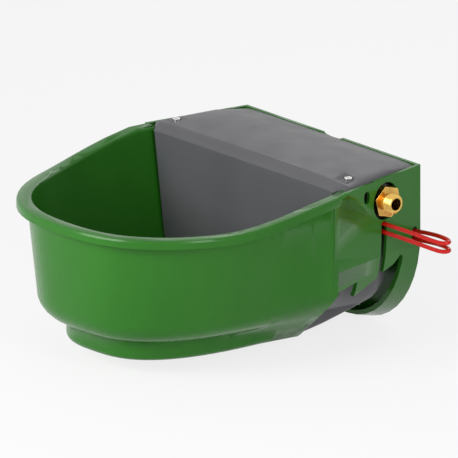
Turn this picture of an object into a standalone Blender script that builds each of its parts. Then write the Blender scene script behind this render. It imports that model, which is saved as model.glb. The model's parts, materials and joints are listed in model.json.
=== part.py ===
"""A wall-hung livestock drinking bowl with a float valve under a lift-off cover.

Frame: +Z up, the animal drinks from -Y, the flat back lies on the wall at Y = 0, water comes in at +X.
The origin is the centre of the back face.
"""

import math

import bmesh
import bpy
from mathutils import Matrix, Vector

MM = 0.001

# Small distances used all over
CLEARANCE = 1 * MM
MERGE_DISTANCE = 0.001 * MM
LEAST_STEP = 0.5 * MM

# Back and cheeks
HEIGHT = 196.5 * MM
REAR_HALF_WIDTH = 145.7 * MM
CHEEK_SPLAY = 0.199
CHEEK_DEPTH = 153 * MM
SHELL_WALL = 4 * MM
LIP_DEPTH = 28 * MM
LIP_DRAFT = 0.3
CORNER_WIDTH = 95.7 * MM
CORNER_HEIGHT = 116.5 * MM

# Bowl
RIM_HALF_WIDTH = 177.2 * MM
RIM_LENGTH = 258 * MM
BOWL_CENTRE_Y = -148 * MM
RIM_END_Y = -127.4 * MM
WALL_END_Y = -100 * MM
NARROWING_SHARE = 0.2442
RIM_DROP = 20.6 * MM
DROP_START = 117 * MM
DROP_END = 294.6 * MM
RIM_WIDTH = 13.5 * MM
RIM_ROUND = 3 * MM
SKIRT_HEIGHT = 10 * MM
SKIRT_WALL = 3 * MM
BOWL_WALL = 5 * MM
WALL_INSET = 11 * MM
BOWL_DEPTH = 158.4 * MM
FOOT_HALF_WIDTH = 106 * MM
FOOT_LENGTH = 210 * MM
FOOT_HEIGHT = 24 * MM
FOOT_ROUND = 8 * MM
FOOT_STEP = 3 * MM
ROUND_HEIGHT = 30 * MM
ROUND_INSET_SIDE = 36 * MM
ROUND_INSET_FRONT = 24 * MM
RIM_POWER = 2.51
FOOT_POWER = 2.8

# Flare that joins the bowl to the cheeks
FLARE_DEPTH = 95 * MM
FLARE_OVERLAP = 1.7 * MM
FLARE_STEPS = 8
FLARE_HEIGHT_SHARES = (0.004, 0.1, 0.19, 0.27, 0.36, 0.45, 0.7, 1)
FLARE_SHOULDER = 60 * MM
FLARE_FOOT_HALF_WIDTH = 107 * MM

# Opening below the cheeks, as shares of the way to the lip and of the flare's shoulder height
ARCH_POINT_SHARES = (
    (-0.075, 0.2),
    (-0.075, 1),
    (0.125, 1.0667),
    (0.35, 1.1333),
    (0.3583, 0.8167),
    (0.6417, 1.0333),
    (0.7333, 1.1333),
    (0.8667, 1.2167),
    (0.9333, 1.3167),
    (0.9583, 1.3667),
    (1, 1.3167),
)

# Float tank
TANK_WALL = 3.5 * MM
TANK_REAR_Y = -24 * MM
TANK_TOP_DROP = 7 * MM
TANK_SLOPE = 0.22
TANK_FLOOR_HALF_WIDTH = 100 * MM
TANK_CORNER_ROUND = 30 * MM
TANK_REAR_HALF_WIDTH = 139 * MM
TANK_RUN_SHARES = (0, 0.2, 0.4, 0.6, 0.8)
TANK_REAR_TURNS = (0, 30, 60, 90)
TANK_REAR_ROUND = 25 * MM
JOINT_TILT = 0.56
JOINT_REACH = 30 * MM
TONGUE_LENGTH = 10 * MM
JOINT_STATION = 3 * MM
STATION_MARGIN_SHARE = 0.001
GASKET_THICKNESS = 2 * MM
FIT_GAP = 0.3 * MM

# Openings in the shell
INLET_Y = -62 * MM
INLET_DROP = 26.8 * MM
INLET_CLEARANCE_RADIUS = 21.5 * MM
SLOT_Y = -65 * MM
SLOT_WIDTH = 9 * MM
SLOT_TOP_DROP = 49 * MM
WINDOW_Y = -95.3 * MM
WINDOW_DROP = 14.9 * MM
WINDOW_WIDTH = 9.8 * MM
WINDOW_HEIGHT = 14.5 * MM
NOTCH_WIDTH = 32 * MM
NOTCH_DEPTH = 3 * MM
WIRE_HOLE_Y = -10.2 * MM
WIRE_HOLE_WIDTH = 8.7 * MM
WIRE_HOLE_HEIGHT = 20.5 * MM
HANG_HOLE_X = 70 * MM
HANG_HOLE_DROP = 36 * MM
HANG_HOLE_RADIUS = 8 * MM
HANG_SLOT_LENGTH = 16 * MM
HANG_SLOT_RADIUS = 4 * MM
FIX_HOLE_X = 45 * MM
FIX_HOLE_RISE = 14 * MM
FIX_HOLE_RADIUS = 4 * MM

# Cover
COVER_WALL = 3 * MM
COVER_CLEARANCE = 1.5 * MM
COVER_FRONT_Y = -133 * MM
COVER_BROW_Y = -98 * MM
COVER_REAR_Y = -6 * MM
COVER_CROWN = 9.5 * MM
COVER_BROW_DROP = 2.8 * MM
COVER_SKIRT = 8 * MM
LOCK_X = 144.6 * MM
LOCK_Y = -105.3 * MM
LOCK_HEAD_RADIUS = 4.5 * MM
LOCK_HEAD_HEIGHT = 2 * MM
LOCK_SHANK_RADIUS = 2.2 * MM
LOCK_LENGTH = 26 * MM
LOCK_HEAD_RISE = 4.3 * MM
POST_RADIUS = 7 * MM
POST_HEIGHT = 35 * MM
POST_TOP_DROP = 3.5 * MM
WALL_LEDGE_HALF_WIDTH = 161.3 * MM
WALL_LEDGE_DROP = 4.75 * MM
LOCK_SEAT_RADIUS = 7.5 * MM
COVER_FRONT_HALF_WIDTH = 151.6 * MM
COVER_EDGE_DROP = 2 * MM
COVER_CROWN_Y = -50 * MM
COVER_FALL_Y = -20 * MM
COVER_FALL_RISE = 3.5 * MM
COVER_RISE_SHARES = (0.2, 0.32, 0.45)
SHOULDER_SHARES = (1, 0.985, 0.95, 0.9, 0.8, 0.5)
SHOULDER_POWER = 10
DIVIDER_INSET = 12.6 * MM
DIVIDER_FOOT_Z = -50 * MM
DIVIDER_STEP_Z = -27 * MM
DIVIDER_STEP = 5 * MM

# Inlet fittings
THREAD_RADIUS = 10.4 * MM
BORE_RADIUS = 7 * MM
HEX_ACROSS = 33 * MM
THREAD_LENGTH = 12.8 * MM
WASHER_THICKNESS = 2 * MM
WASHER_RADIUS = 16 * MM
LOCKNUT_THICKNESS = 7 * MM
LOCKNUT_ACROSS = 30 * MM
PAD_INNER_X = 132 * MM
PAD_FACE_X = 148 * MM
PAD_RADIUS = 18 * MM
HEX_LENGTH = 12.4 * MM
THREAD_INNER_X = 116 * MM
PLUG_HEAD_THICKNESS = 8 * MM
HEX_TURN = 14

# Float valve
VALVE_BODY_RADIUS = 14 * MM
VALVE_BODY_LENGTH = 30 * MM
VALVE_START_X = 94.4 * MM
SEAT_X = 114 * MM
NOZZLE_RADIUS = 6.9 * MM
NOZZLE_BORE_RADIUS = 2 * MM
NOZZLE_LENGTH = 8 * MM
PLUNGER_RADIUS = 7 * MM
PLUNGER_LENGTH = 20.1 * MM
PLUNGER_TIP_RADIUS = 2.2 * MM
PLUNGER_CONE = 2 * MM
SEAL_THICKNESS = 3 * MM
FORK_DROP = 19 * MM
FORK_WALL = 4 * MM
FORK_GAP = 9 * MM
FORK_FOOT = 5 * MM
FORK_HOLD = 8 * MM
PIN_X = 88 * MM
OUTLET_LENGTH = 7 * MM
NOZZLE_STAND = 1.7 * MM
HUB_RADIUS = 5 * MM
ARM_FOOT_DROP = 62 * MM
FLOAT_NECK = 6.5 * MM
PIN_RADIUS = 2 * MM
ARM_WIDTH = 7 * MM
ARM_THICKNESS = 5 * MM
FLOAT_X = -34 * MM
FLOAT_RADIUS = 31 * MM
FLOAT_HEIGHT = 46 * MM
FLOAT_ROUND = 9 * MM
FLOAT_STUD_RADIUS = 3 * MM
FLOAT_NUT_ACROSS = 10 * MM
FLOAT_NUT_THICKNESS = 4 * MM

# Rear tank screws
TANK_SCREW_X = 60 * MM
TANK_SCREW_DROPS = (60 * MM, 120 * MM)
TANK_BOSS_RADIUS = 7 * MM
SCREW_RADIUS = 2 * MM
SCREW_HEAD_RADIUS = 4 * MM
SCREW_HEAD_HEIGHT = 2.2 * MM
SCREW_LENGTH = 16 * MM

# Red wire bail
WIRE_RADIUS = 2.5 * MM
TURN_PITCH = 9.8 * MM
WIRE_FAR_DROP = 75 * MM
WIRE_TURN = (
    (149, -65.5, 45.0),
    (158.6, -65.0, 45.8),
    (167, -62.0, 44.5),
    (186, -49.0, 38.5),
    (211.7, -32.0, 29.8),
    (219.8, -24.0, 29.6),
    (213, -18.5, 30.2),
    (193.6, -14.5, 29.2),
    (170, -10.8, 26.2),
    (148, -9.5, 23.2),
    (140.0, -11.5, 21.5),
)
WIRE_RETURN = (
    (139.5, -21.0, 22.0),
    (144, -40.0, 27.0),
    (148.8, -61.0, 34.5),
)

OVERRUN = 20 * MM
ARC_STEPS = 36
ROUND_STEPS = 5

TOP = HEIGHT / 2
BOTTOM = -HEIGHT / 2
FRONT_RIM_Z = TOP - RIM_DROP
BOWL_BOTTOM = FRONT_RIM_Z - BOWL_DEPTH
TANK_TOP = TOP - TANK_TOP_DROP
INLET_Z = TOP - INLET_DROP
POST_TOP = TOP - POST_TOP_DROP


def clear_scene():
    """Removes whatever the file holds."""
    for item in list(bpy.data.objects):
        bpy.data.objects.remove(item, do_unlink=True)


def make_collection(name):
    made = bpy.data.collections.new(name)
    bpy.context.scene.collection.children.link(made)
    return made


def make_material(name, colour, roughness, metallic=0.0):
    made = bpy.data.materials.new(name)
    made.use_nodes = True
    shader = made.node_tree.nodes["Principled BSDF"]
    shader.inputs["Base Color"].default_value = (*colour, 1)
    shader.inputs["Roughness"].default_value = roughness
    shader.inputs["Metallic"].default_value = metallic
    made.diffuse_color = (*colour, 1)
    return made


clear_scene()
PARTS = make_collection("drinking_bowl")
CUTTERS = make_collection("cutters")
GREEN = make_material("green_plastic", (0.03, 0.13, 0.015), 0.25)
GREY = make_material("grey_plastic", (0.1, 0.1, 0.11), 0.4)
BRASS = make_material("brass", (0.6, 0.35, 0.08), 0.3, 1.0)
STEEL = make_material("steel", (0.6, 0.6, 0.6), 0.3, 1.0)
RUBBER = make_material("black_rubber", (0.02, 0.02, 0.02), 0.7)
WHITE = make_material("white_plastic", (0.7, 0.7, 0.68), 0.45)
RED = make_material("red_coating", (0.55, 0.01, 0.005), 0.3)


def add_object(name, mesh, material=None):
    """A part where a material is given, or else a cutter."""
    made = bpy.data.objects.new(name, mesh)
    if material is None:
        CUTTERS.objects.link(made)
        made.hide_render = True
        made.display_type = "WIRE"
    else:
        mesh.materials.clear()
        mesh.materials.append(material)
        PARTS.objects.link(made)
    return made


def combine(target, operation, other):
    """Adds a Boolean of another object, which becomes a helper."""
    cut = target.modifiers.new(other.name, "BOOLEAN")
    cut.operation = operation
    cut.solver = "EXACT"
    cut.object = other
    return target


def smooth(item, angle=35):
    item.data.shade_smooth()
    item.data.set_sharp_from_angle(angle=math.radians(angle))
    return item


def loft(name, rings, material=None):
    """A closed solid through rings of points that run counterclockwise seen from where the rings go."""
    shape = bmesh.new()
    rows = [[shape.verts.new(point) for point in ring] for ring in rings]
    count = len(rows[0])
    for lower, upper in zip(rows, rows[1:]):
        for k in range(count):
            after = (k + 1) % count
            shape.faces.new((lower[k], lower[after], upper[after], upper[k]))
    for row, flip in ((rows[0], True), (rows[-1], False)):
        half = count // 2
        for k in range(half):
            left, left_next = row[k], row[k + 1]
            right, right_next = row[count - 1 - k], row[count - 2 - k]
            corners = [left, left_next] if left_next is right_next else [left, left_next, right_next]
            corners += [] if left is right else [right]
            corners = list(dict.fromkeys(corners))
            if len(corners) > 2:
                shape.faces.new(corners[::-1] if flip else corners)
    bmesh.ops.recalc_face_normals(shape, faces=shape.faces)
    mesh = bpy.data.meshes.new(name)
    shape.to_mesh(mesh)
    shape.free()
    return smooth(add_object(name, mesh, material))


def prism(name, outline, start, end, axis="X", material=None):
    """An outline in the two axes across, pushed along one axis from start to end."""
    shape = bmesh.new()
    place = {
        "X": lambda a, b: (start, a, b),
        "Y": lambda a, b: (a, start, b),
        "Z": lambda a, b: (a, b, start),
    }[axis]
    face = shape.faces.new([shape.verts.new(place(*point)) for point in outline])
    pushed = bmesh.ops.extrude_face_region(shape, geom=[face])["geom"]
    along = {"X": Vector((1, 0, 0)), "Y": Vector((0, 1, 0)), "Z": Vector((0, 0, 1))}[axis]
    points = [item for item in pushed if isinstance(item, bmesh.types.BMVert)]
    bmesh.ops.translate(shape, verts=points, vec=along * (end - start))
    bmesh.ops.recalc_face_normals(shape, faces=shape.faces)
    mesh = bpy.data.meshes.new(name)
    shape.to_mesh(mesh)
    shape.free()
    return smooth(add_object(name, mesh, material))


AXES = {
    "X": Matrix.Rotation(math.pi / 2, 4, "Y"),
    "Y": Matrix.Rotation(-math.pi / 2, 4, "X"),
    "Z": Matrix.Identity(4),
}


def rod(name, centre, radius, length, axis="Z", sides=24, end_radius=None, turn=0.0, material=None):
    """A cylinder, cone or regular prism whose middle is at centre."""
    shape = bmesh.new()
    top = radius if end_radius is None else end_radius
    bmesh.ops.create_cone(
        shape, cap_ends=True, segments=sides, radius1=radius, radius2=top, depth=length
    )
    bmesh.ops.rotate(shape, verts=shape.verts, matrix=Matrix.Rotation(turn, 3, "Z"))
    bmesh.ops.transform(shape, verts=shape.verts, matrix=Matrix.Translation(centre) @ AXES[axis])
    mesh = bpy.data.meshes.new(name)
    shape.to_mesh(mesh)
    shape.free()
    return smooth(add_object(name, mesh, material))


def turned(name, profile, place, axis="Z", sides=32, material=None, turn=0.0):
    """A closed ring of (radius, height) points spun round its axis, so a profile clear of it makes a bore."""
    rings = []
    for k in range(sides):
        angle = 2 * math.pi * k / sides + turn
        rings.append([Vector((r * math.cos(angle), r * math.sin(angle), h)) for r, h in profile])
    shape = bmesh.new()
    move = Matrix.Translation(place) @ AXES[axis]
    rows = [[shape.verts.new(move @ point) for point in ring] for ring in rings]
    for k in range(sides):
        here, there = rows[k], rows[(k + 1) % sides]
        for j in range(len(profile)):
            after = (j + 1) % len(profile)
            shape.faces.new((here[j], there[j], there[after], here[after]))
    bmesh.ops.remove_doubles(shape, verts=shape.verts, dist=MERGE_DISTANCE)
    bmesh.ops.delete(shape, geom=[edge for edge in shape.edges if not edge.link_faces], context="EDGES")
    bmesh.ops.recalc_face_normals(shape, faces=shape.faces)
    mesh = bpy.data.meshes.new(name)
    shape.to_mesh(mesh)
    shape.free()
    return smooth(add_object(name, mesh, material))


def block(name, low, high, material=None):
    outline = [(low[0], low[1]), (high[0], low[1]), (high[0], high[1]), (low[0], high[1])]
    return prism(name, outline, low[2], high[2], "Z", material)


def blend(start, end, share):
    return start + (end - start) * share


def ease(share):
    """A soft start and end between 0 and 1."""
    share = min(max(share, 0), 1)
    return share * share * (3 - 2 * share)


def rim_rise(y):
    """How much higher the rim is here than at the front."""
    return RIM_DROP * (1 - ease((-y - DROP_START) / (DROP_END - DROP_START)))


def cheek_half_width(y):
    return REAR_HALF_WIDTH - CHEEK_SPLAY * y


def narrowing(y):
    """Share of the bowl's width that is left behind its widest place."""
    return 1 - NARROWING_SHARE * max(y - BOWL_CENTRE_Y, 0) / -BOWL_CENTRE_Y


def joint_y(z):
    """Where the float tank meets the bowl: leaning below, upright behind the divider."""
    return BOWL_CENTRE_Y + min(JOINT_TILT * (z - BOWL_BOTTOM), JOINT_REACH)


def wall_profile(inset=0.0):
    """The bowl's outer wall as (half width, length, height), floor first; an inset moves it inwards."""
    points = []
    for k in range(ROUND_STEPS):
        angle = math.pi / 2 * k / (ROUND_STEPS - 1)
        out = FOOT_ROUND * (1 - math.sin(angle))
        z = BOWL_BOTTOM + FOOT_ROUND * (1 - math.cos(angle))
        points.append((FOOT_HALF_WIDTH - out, FOOT_LENGTH - out, z))
    crease = BOWL_BOTTOM + FOOT_HEIGHT
    points.append((FOOT_HALF_WIDTH, FOOT_LENGTH, crease - FOOT_STEP / 2))
    points.append((FOOT_HALF_WIDTH + FOOT_STEP, FOOT_LENGTH + FOOT_STEP, crease))
    end = math.radians(80)
    for k in range(1, ROUND_STEPS + 2):
        angle = end * (1 - k / (ROUND_STEPS + 1))
        across = (1 - math.cos(angle)) / (1 - math.cos(end))
        up = math.sin(angle) / math.sin(end)
        points.append((
            FOOT_HALF_WIDTH + FOOT_STEP + ROUND_INSET_SIDE * (1 - across),
            FOOT_LENGTH + FOOT_STEP + ROUND_INSET_FRONT * (1 - across),
            crease + ROUND_HEIGHT * (1 - up),
        ))
    points.append((RIM_HALF_WIDTH - WALL_INSET, RIM_LENGTH - WALL_INSET, FRONT_RIM_Z - SKIRT_WALL))
    return points if not inset else moved_in(points, inset)


def moved_in(points, inset):
    """The profile moved inwards, without the points that a tight corner would turn back on themselves."""
    moved = []
    for k, (a, b, z) in enumerate(points):
        before, after = points[max(k - 1, 0)], points[min(k + 1, len(points) - 1)]
        run, rise = after[0] - before[0], after[2] - before[2]
        if k == 0:
            run, rise = FOOT_ROUND, 0
        size = math.hypot(run, rise)
        across = inset * rise / size
        moved.append((a - across, b - across, z + inset * run / size))
    kept = [moved[0]]
    for point in moved[1:]:
        wider = point[0] > kept[-1][0] + LEAST_STEP
        higher = point[2] > kept[-1][2] + LEAST_STEP
        if (wider or higher) and point[2] > kept[-1][2] - MERGE_DISTANCE:
            kept.append(point)
    return kept


def bowl_ring(half_width, length, z, end_y, share=1.0):
    """One level of the bowl: straight cheeks at the back and a superellipse at the front."""
    power = blend(FOOT_POWER, RIM_POWER, ease((z - BOWL_BOTTOM) / BOWL_DEPTH))
    flat = []
    for k in range(ARC_STEPS + 1):
        angle = math.pi * k / ARC_STEPS
        x = -half_width * math.copysign(abs(math.cos(angle)) ** (2 / power), math.cos(angle))
        y = BOWL_CENTRE_Y - length * math.sin(angle) ** (2 / power)
        flat.append((x, y))
    end = half_width * narrowing(end_y)
    flat = [(-end, end_y), *flat, (end, end_y)]
    return [Vector((x, y, z + share * rim_rise(y))) for x, y in flat]


def lift_share(z):
    """Walls stretch with the rim above the rounding and stay level below it."""
    low = BOWL_BOTTOM + FOOT_HEIGHT + ROUND_HEIGHT
    return min(max((z - low) / (FRONT_RIM_Z - SKIRT_WALL - low), 0), 1)


def bowl_outside():
    """The wall and foot, with a rim whose skirt hangs clear of the wall."""
    rings = [bowl_ring(a, b, z, WALL_END_Y, lift_share(z)) for a, b, z in wall_profile()]
    a, b = RIM_HALF_WIDTH - WALL_INSET, RIM_LENGTH - WALL_INSET
    rings.append(bowl_ring(a, b, FRONT_RIM_Z - SKIRT_WALL / 2, WALL_END_Y))
    wall = loft("bowl_outside", rings)
    soft = RIM_ROUND * (1 - math.sqrt(0.5))
    levels = [(0, -SKIRT_HEIGHT), (0, -RIM_ROUND), (soft, -soft), (RIM_ROUND, 0)]
    rim = loft("rim_solid", rim_rings(levels, RIM_END_Y))
    room = [(SKIRT_WALL, -2 * SKIRT_HEIGHT), (SKIRT_WALL, -SKIRT_WALL)]
    combine(rim, "DIFFERENCE", loft("skirt_room", rim_rings(room, RIM_END_Y + OVERRUN)))
    return combine(wall, "UNION", rim)


def rim_rings(levels, end_y):
    """Rings of the rim at given insets and rises."""
    rings = []
    for inset, rise in levels:
        rings.append(bowl_ring(RIM_HALF_WIDTH - inset, RIM_LENGTH - inset, FRONT_RIM_Z + rise, end_y))
    return rings


def bowl_hollow():
    """The water space, run on above the rim and behind the joint."""
    levels = wall_profile(BOWL_WALL)
    rings = [bowl_ring(a, b, z, WALL_END_Y + OVERRUN, lift_share(z)) for a, b, z in levels[:-1]]
    soft = RIM_ROUND * (1 - math.sqrt(0.5))
    inner = RIM_WIDTH + RIM_ROUND
    edge = [(inner, -2 * RIM_ROUND), (inner, -RIM_ROUND), (inner - soft, -soft)]
    edge += [(RIM_WIDTH, 0), (RIM_WIDTH, OVERRUN)]
    rings += rim_rings(edge, WALL_END_Y + OVERRUN)
    return loft("bowl_hollow", rings)


def back_ring(y, inset=0.0, top=TOP):
    """The upright outline of back and cheeks at one depth: straight sides, elliptical lower corners."""
    half = cheek_half_width(y) - inset
    low = BOTTOM + inset + LIP_DRAFT * min(-y, LIP_DEPTH)
    right = []
    steps = 2 * ROUND_STEPS
    for k in range(steps + 1):
        angle = math.pi / 2 * k / steps
        x = half - CORNER_WIDTH * (1 - math.sin(angle))
        right.append((x, low + CORNER_HEIGHT * (1 - math.cos(angle))))
    right.append((half, top))
    left = [(-x, z) for x, z in right[::-1]]
    return [Vector((x, y, z)) for x, z in [*left, *right]]


def wall_half_width(y, z):
    """Outer half width of the bowl's wall at one place, level walls assumed."""
    levels = wall_profile()
    for (a1, b1, z1), (a2, b2, z2) in zip(levels, levels[1:]):
        if z <= z2:
            part = min(max((z - z1) / max(z2 - z1, CLEARANCE), 0), 1)
            a, b = blend(a1, a2, part), blend(b1, b2, part)
            break
    else:
        a, b = levels[-1][:2]
    power = blend(FOOT_POWER, RIM_POWER, ease((z - BOWL_BOTTOM) / BOWL_DEPTH))
    return a * max(1 - abs((y - BOWL_CENTRE_Y) / b) ** power, 0) ** (1 / power)


def flare_ring(share, inset):
    """The cheek's outline fading into the bowl's wall: share 0 is at the cheek and 1 is inside the wall."""
    y = BOWL_CENTRE_Y + FLARE_OVERLAP - share * FLARE_DEPTH
    half = cheek_half_width(y) - FIT_GAP / 2
    top = FRONT_RIM_Z + rim_rise(y) - SKIRT_WALL / 2
    shoulder = BOWL_BOTTOM + FLARE_SHOULDER
    fade = (1 - share) ** 2
    right = []
    for height in FLARE_HEIGHT_SHARES:
        z = blend(BOWL_BOTTOM, top, height)
        slope = min((z - BOWL_BOTTOM) / (shoulder - BOWL_BOTTOM), 1)
        cheek = blend(FLARE_FOOT_HALF_WIDTH, half, slope)
        wall = wall_half_width(y, z) - 2 * CLEARANCE
        raised = 3 * inset * (1 - height)
        right.append((wall + (cheek - wall) * fade - inset, z + raised))
    right[-1] = (right[-1][0], top + (OVERRUN if inset else 0))
    left = [(-x, z) for x, z in right[::-1]]
    return [Vector((x, y, z)) for x, z in [*left, *right]]


def arch_cutter():
    """Side view of the opening below the cheeks, with the rear panel a little lower than the front one."""
    outline = [
        (blend(BOWL_CENTRE_Y, -LIP_DEPTH, along), BOWL_BOTTOM + up * FLARE_SHOULDER)
        for along, up in ARCH_POINT_SHARES
    ]
    below = BOTTOM - OVERRUN
    outline = [(outline[0][0], below), *outline, (outline[-1][0], below)]
    reach = 2 * RIM_HALF_WIDTH
    return prism("arch_cutter", outline, -reach, reach, "X")


def oval(centre_a, centre_b, width, height, steps=8):
    """A slot outline with round ends, upright."""
    radius = width / 2
    half = height / 2 - radius
    points = []
    for k in range(steps + 1):
        angle = math.pi * k / steps
        points.append((centre_a + radius * math.cos(angle), centre_b + half + radius * math.sin(angle)))
    for k in range(steps + 1):
        angle = math.pi + math.pi * k / steps
        points.append((centre_a + radius * math.cos(angle), centre_b - half + radius * math.sin(angle)))
    return points


def make_shell():
    """The green moulding: bowl, flared cheeks, back plate and its lip."""
    skin = loft("bowl_shell", [back_ring(0), back_ring(-LIP_DEPTH), back_ring(-CHEEK_DEPTH)], GREEN)
    depths = (-SHELL_WALL, -LIP_DEPTH, -CHEEK_DEPTH - OVERRUN)
    room = [back_ring(y, SHELL_WALL, TOP + OVERRUN) for y in depths]
    combine(skin, "DIFFERENCE", loft("housing_room", room))
    shares = [k / FLARE_STEPS for k in range(FLARE_STEPS + 1)]
    flare = loft("flare_skin", [flare_ring(share, 0) for share in shares])
    inside = [flare_ring(share, SHELL_WALL) for share in shares]
    for point in inside[0]:
        point.y += OVERRUN
    combine(flare, "DIFFERENCE", loft("flare_room", inside))
    combine(skin, "DIFFERENCE", arch_cutter())
    reach = 2 * RIM_HALF_WIDTH
    low = FRONT_RIM_Z + rim_rise(-CHEEK_DEPTH) - SKIRT_WALL
    trim = block("cheek_trim", (-reach, -2 * CHEEK_DEPTH, low), (reach, RIM_END_Y - CLEARANCE, TOP + OVERRUN))
    combine(skin, "DIFFERENCE", trim)
    bowl = combine(bowl_outside(), "UNION", flare)
    lean = [
        (joint_y(BOTTOM), BOTTOM),
        (BOWL_CENTRE_Y + JOINT_REACH, BOWL_BOTTOM + JOINT_REACH / JOINT_TILT),
        (BOWL_CENTRE_Y + JOINT_REACH, TOP),
        (OVERRUN, TOP),
        (OVERRUN, BOTTOM),
    ]
    combine(bowl, "DIFFERENCE", prism("joint_cutter", lean, -2 * RIM_HALF_WIDTH, 2 * RIM_HALF_WIDTH, "X"))
    combine(skin, "UNION", bowl)
    combine(skin, "DIFFERENCE", bowl_hollow())
    ledge = WALL_LEDGE_HALF_WIDTH
    low = (-ledge, RIM_END_Y + FIT_GAP, TOP - WALL_LEDGE_DROP)
    high = (ledge, WALL_END_Y + OVERRUN, TOP + OVERRUN)
    combine(skin, "DIFFERENCE", block("wall_ledge", low, high))
    cut_openings(skin)
    add_tank_bosses(skin)
    return skin


def cut_openings(shell):
    """Inlet holes, slots and windows on both cheeks, so that water can be led in from either side."""
    reach = 2 * RIM_HALF_WIDTH
    inlet = rod("inlet_cutter", (0, INLET_Y, INLET_Z), INLET_CLEARANCE_RADIUS, 2 * reach, "X", 40)
    combine(shell, "DIFFERENCE", inlet)
    slot_low = BOWL_BOTTOM + FLARE_SHOULDER - OVERRUN
    slot_high = TOP - SLOT_TOP_DROP
    slot = oval(SLOT_Y, (slot_low + slot_high) / 2, SLOT_WIDTH, slot_high - slot_low)
    combine(shell, "DIFFERENCE", prism("slot_cutter", slot, -reach, reach, "X"))
    window = oval(WINDOW_Y, TOP - WINDOW_DROP, WINDOW_WIDTH, WINDOW_HEIGHT)
    combine(shell, "DIFFERENCE", prism("window_cutter", window, -reach, reach, "X"))
    notch = oval(0, TOP, NOTCH_WIDTH, NOTCH_WIDTH)
    low = [(x, TOP + (z - TOP) * 2 * NOTCH_DEPTH / NOTCH_WIDTH) for x, z in notch]
    combine(shell, "DIFFERENCE", prism("notch_cutter", low, -OVERRUN, OVERRUN, "Y"))
    middle = TOP - WIRE_FAR_DROP - TURN_PITCH / 2
    hole = oval(WIRE_HOLE_Y, middle, WIRE_HOLE_WIDTH, WIRE_HOLE_HEIGHT)
    combine(shell, "DIFFERENCE", prism("wire_hole_cutter", hole, REAR_HALF_WIDTH - OVERRUN, reach, "X"))
    for side in (-1, 1):
        x = side * HANG_HOLE_X
        z = TOP - HANG_HOLE_DROP
        hole = rod(f"hang_hole_{side}", (x, 0, z), HANG_HOLE_RADIUS, 2 * OVERRUN, "Y")
        tall = HANG_SLOT_LENGTH + 2 * HANG_SLOT_RADIUS
        slot = oval(x, z + HANG_SLOT_LENGTH / 2, 2 * HANG_SLOT_RADIUS, tall)
        combine(hole, "UNION", prism(f"hang_slot_{side}", slot, -OVERRUN / 2, OVERRUN / 2, "Y"))
        combine(shell, "DIFFERENCE", hole)
        place = (side * FIX_HOLE_X, 0, BOTTOM + FIX_HOLE_RISE)
        fix_hole = rod(f"fix_hole_{side}", place, FIX_HOLE_RADIUS, 3 * SHELL_WALL, "Y", 20)
        combine(shell, "DIFFERENCE", fix_hole)


def tank_screw_places():
    return [(side * TANK_SCREW_X, TOP - drop) for drop in TANK_SCREW_DROPS for side in (-1, 1)]


def add_tank_bosses(shell):
    """Screw recesses through the back plate, each with a thick ring in front of it."""
    deep = SCREW_HEAD_HEIGHT + FIT_GAP
    for k, (x, z) in enumerate(tank_screw_places()):
        ring = rod(f"screw_ring_{k}", (x, -SHELL_WALL, z), TANK_BOSS_RADIUS, SHELL_WALL, "Y", 20)
        combine(shell, "UNION", ring)
        sink = rod(f"screw_sink_{k}", (x, 0, z), SCREW_HEAD_RADIUS + FIT_GAP, 2 * deep, "Y", 20)
        combine(shell, "DIFFERENCE", sink)
        through = rod(f"screw_pass_{k}", (x, 0, z), SCREW_RADIUS + FIT_GAP, 2 * OVERRUN, "Y", 16)
        combine(shell, "DIFFERENCE", through)


def tank_section(inset=0.0):
    """Half outline of tank and bowl across the joint, as (half width, height) from floor to rim."""
    return [(a, z + lift_share(z) * RIM_DROP) for a, _, z in wall_profile(inset)]


def tank_ring(section, place, top):
    """Places a half section on both sides, and closes it with a straight line at the top."""
    (x1, z1), (x2, z2) = section[-2:]
    grow = (top - z2) / (z2 - z1)
    right = [*section[:-1], (x2 + (x2 - x1) * grow, top)]
    left = [(-x, z) for x, z in right[::-1]]
    return [Vector(place(x, z)) for x, z in [*left, *right]]


def tank_rings(inset, top, start=0.0):
    """Rings of the tank: the bowl's section at the joint becomes a plain rounded box at the rear."""
    section = tank_section(inset)
    corner = TANK_REAR_ROUND - inset
    turn_y = TANK_REAR_Y - TANK_REAR_ROUND
    arc = len(section) - 2
    right = [*section[:-1], (section[-1][0], top)]

    def box_point(k, floor):
        if k > arc:
            return TANK_REAR_HALF_WIDTH - inset, top
        angle = math.pi / 2 * k / arc
        round_off = TANK_CORNER_ROUND - inset
        x = TANK_FLOOR_HALF_WIDTH + round_off * math.sin(angle)
        return x, floor + inset + round_off * (1 - math.cos(angle))

    rings = []
    stations = [(share, 0) for share in TANK_RUN_SHARES] + [(1, turn) for turn in TANK_REAR_TURNS]
    for share, degrees in stations:
        turn = math.radians(degrees)
        squeeze = corner * (1 - math.cos(turn))
        half_ring = []
        for k, (x, z) in enumerate(right):
            y = blend(joint_y(min(z, TOP)) + start, turn_y, share) + corner * math.sin(turn)
            floor = BOWL_BOTTOM + TANK_SLOPE * max(y - BOWL_CENTRE_Y, 0)
            far_x, far_z = box_point(k, floor)
            change = ease(share)
            wide = blend(x * narrowing(y), far_x, change) - squeeze
            high = blend(z, far_z, change)
            depth = min(max((top - high) / (top - BOWL_BOTTOM), 0), 1)
            half_ring.append((wide, y, high + squeeze * depth))
        other_half = [Vector((-x, y, z)) for x, y, z in half_ring[::-1]]
        rings.append(other_half + [Vector(point) for point in half_ring])
    return rings


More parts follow.
